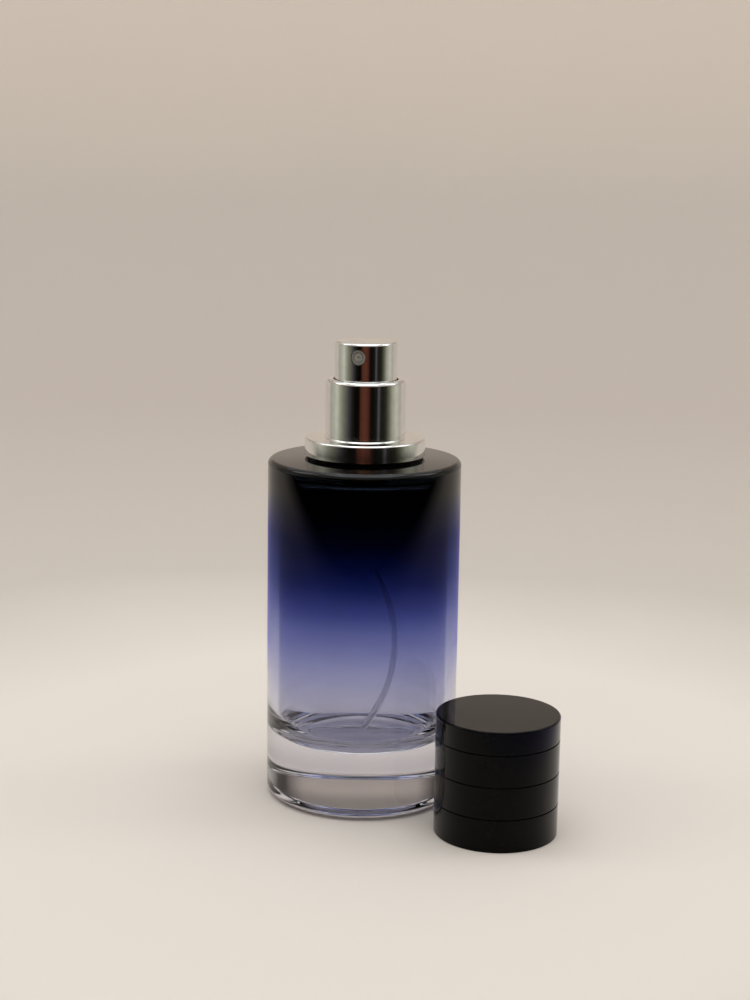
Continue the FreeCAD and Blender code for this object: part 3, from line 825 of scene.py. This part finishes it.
def paper():
    """Paper whose tone changes with distance and height, and with how it is seen: painted light brighter
    near the bottle and high on the wall, painted shade where it is seen through the glass and where it is
    mirrored, a painted navy reflection for the glass, and a painted glow under the base that only the glass
    sees.
    """
    net = Net("paper")
    out = reach(net)
    path = net.node("LightPath").outputs
    through_glass, mirrored = path["Is Transmission Ray"], path["Is Glossy Ray"]

    # Painted light: the paper's tone is brighter near the bottle and high on the wall, darker between.
    share = net.math("DIVIDE", net.math("ADD", out, net.z), PAPER_SPAN)
    mottle = net.uneven(net.noise(9), 0.0, 0.02)
    tone = net.ramp(net.math("ADD", share, mottle), [(at / PAPER_SPAN, colour) for at, colour in PAPER_AND_PAINTED_LIGHT])

    # Painted shade: the paper is darker where the glass sees it through, by height and side, and where it is
    # mirrored, by height.
    away = net.math("MULTIPLY", towards(net, to_camera), -1)
    off_middle = net.math("ABSOLUTE", net.math("ARCTAN2", towards(net, to_right), away))
    half_turns = net.math("DIVIDE", off_middle, math.pi)
    side = net.ramp(half_turns, greys([(degrees / 180, share) for degrees, share in SIDE_PAPER]))
    side = net.math("MAXIMUM", side, net.ramp(net.z, greys(LOW_PAPER)))
    seen = net.math("MULTIPLY", side, net.ramp(net.z, greys(HIGH_PAPER)))
    seen = net.math("MAXIMUM", seen, net.math("SUBTRACT", 1, through_glass))
    image = net.ramp(net.z, greys(MIRRORED_PAPER))
    image = net.math("MAXIMUM", image, net.math("SUBTRACT", 1, mirrored))
    dimmed = net.node("MixRGB", 1.0, tone, net.math("MULTIPLY", seen, image), blend_type="MULTIPLY")

    # Painted navy reflection: a ray's length and slope give the height of the surface that mirrors it, and
    # mirror rays from below the collar, where the glass is, see the floor round the bottle painted navy.
    incoming = net.node("NewGeometry").outputs["Incoming"]
    rise = net.node("SeparateXYZ", incoming).outputs["Z"]
    mirror_z = net.math("MULTIPLY", path["Ray Length"], rise)
    by_glass = net.math("LESS_THAN", mirror_z, collar_low[2])
    outside = net.math("SUBTRACT", mirrored, through_glass)
    painted_reflection = net.math("MULTIPLY", net.ramp(out, greys(NAVY_REFLECTION_REACH)), net.math("MULTIPLY", outside, by_glass))
    navy = net.node("MixRGB", painted_reflection, dimmed.outputs[0], PAINTED_NAVY_REFLECTION, blend_type="MULTIPLY")

    glow = net.math("MULTIPLY", net.ramp(out, greys(UNDER_GLASS)), through_glass)
    return net.principled({
        "Base Color": navy.outputs[0],
        "Emission Strength": net.math("MULTIPLY", glow, GLASS_GLOW),
        "Emission Color": linear(226, 222, 232),
        "Roughness": 0.9,
        "Specular IOR Level": 0.1,
    })


def backdrop():
    """Pale paper bowl round the object: a flat floor that curves up into the wall on every side."""
    bend_steps = 16
    profile = [(0, 0), (FLAT_R, 0), (FLOOR_R, 0)]
    for k in range(1, bend_steps + 1):
        turn = math.pi / 2 * k / bend_steps
        profile.append((FLOOR_R + BEND_R * math.sin(turn), BEND_R * (1 - math.cos(turn))))
    profile.append((FLOOR_R + BEND_R, WALL_TOP))
    piece = swept("backdrop", profile, 0, 2 * math.pi, steps=96)
    piece.data.materials.append(paper())


def screen_light():
    """Striped glow of the screen, which fades to nothing at its inner edge and its ends."""
    net = Net("screen")
    net.nodes.remove(net.shader)
    out = reach(net)
    span = 2 * SCREEN_REACH
    turn = net.math("ARCTAN2", towards(net, to_right), towards(net, to_camera))
    share = net.math("ADD", net.math("DIVIDE", turn, math.radians(span)), 0.5)
    tone = net.ramp(share, [(at / span + 0.5, linear(*colour)) for at, colour in SCREEN])
    veil = net.ramp(share, greys([(at / span + 0.5, cover) for at, cover in SCREEN_COVER]))
    offside = net.math("SUBTRACT", share, 0.5)
    tongue = net.math("MULTIPLY", net.math("MULTIPLY", offside, offside), SCREEN_TONGUE)
    far = net.ramp(net.math("SUBTRACT", out, tongue), greys(SCREEN_START))
    table = net.ramp(out, greys(TABLE_EDGE))
    shade = net.node("MixRGB", table, tone, TABLE_DARK)
    glow = net.node("Emission", shade.outputs[0])
    clear = net.node("BsdfTransparent")
    cover = net.math("MULTIPLY", veil, far)
    blend = net.node("MixShader", cover, clear.outputs[0], glow.outputs[0])
    net.feed(net.nodes["Material Output"].inputs["Surface"], blend.outputs[0])
    return net.material


def dark_screen():
    """Soft-edged screen round the camera's side, which only mirror images and the glass see."""
    profile = [(SCREEN_IN_R, SCREEN_LOW), (SCREEN_OUT_R, SCREEN_LOW), (SCREEN_OUT_R, SCREEN_HIGH)]
    reach_angle = math.radians(SCREEN_REACH)
    piece = swept("dark_screen", profile, -reach_angle, reach_angle, steps=120)
    piece.visible_camera = False
    piece.visible_diffuse = False
    piece.visible_shadow = False
    piece.data.materials.append(screen_light())


def area_light(name, place, size, power, colour=(1, 1, 1)):
    """Soft rectangular lamp that faces the middle of the bottle."""
    middle = Vector((0, 0, 0.05))
    data = bpy.data.lights.new(name, "AREA")
    data.shape = "RECTANGLE"
    data.size, data.size_y = size
    data.energy = power
    data.color = colour
    lamp = bpy.data.objects.new(name, data)
    bpy.context.scene.collection.objects.link(lamp)
    lamp.location = place
    lamp.rotation_euler = (middle - place).to_track_quat("-Z", "Y").to_euler()


def lights():
    """One large soft lamp overhead, a weak one from each side, and a pale sky above the paper."""
    area_light("overhead", around_object(0.0, -0.05, 1.3), (1.1, 1.1), 7.4, (0.92, 0.96, 1.0))
    area_light("left", around_object(-0.75, 0.1, 0.8), (0.3, 0.5), 1.0)
    area_light("right", around_object(0.75, 0.1, 0.8), (0.3, 0.5), 1.0)
    world = bpy.data.worlds.new("world")
    bpy.context.scene.world = world
    world.use_nodes = True
    sky = world.node_tree.nodes["Background"]
    sky.inputs["Color"].default_value = linear(236, 237, 235)
    sky.inputs["Strength"].default_value = 0.87


add_camera()
backdrop()
dark_screen()
lights()
bpy.context.scene.view_settings.view_transform = "Standard"
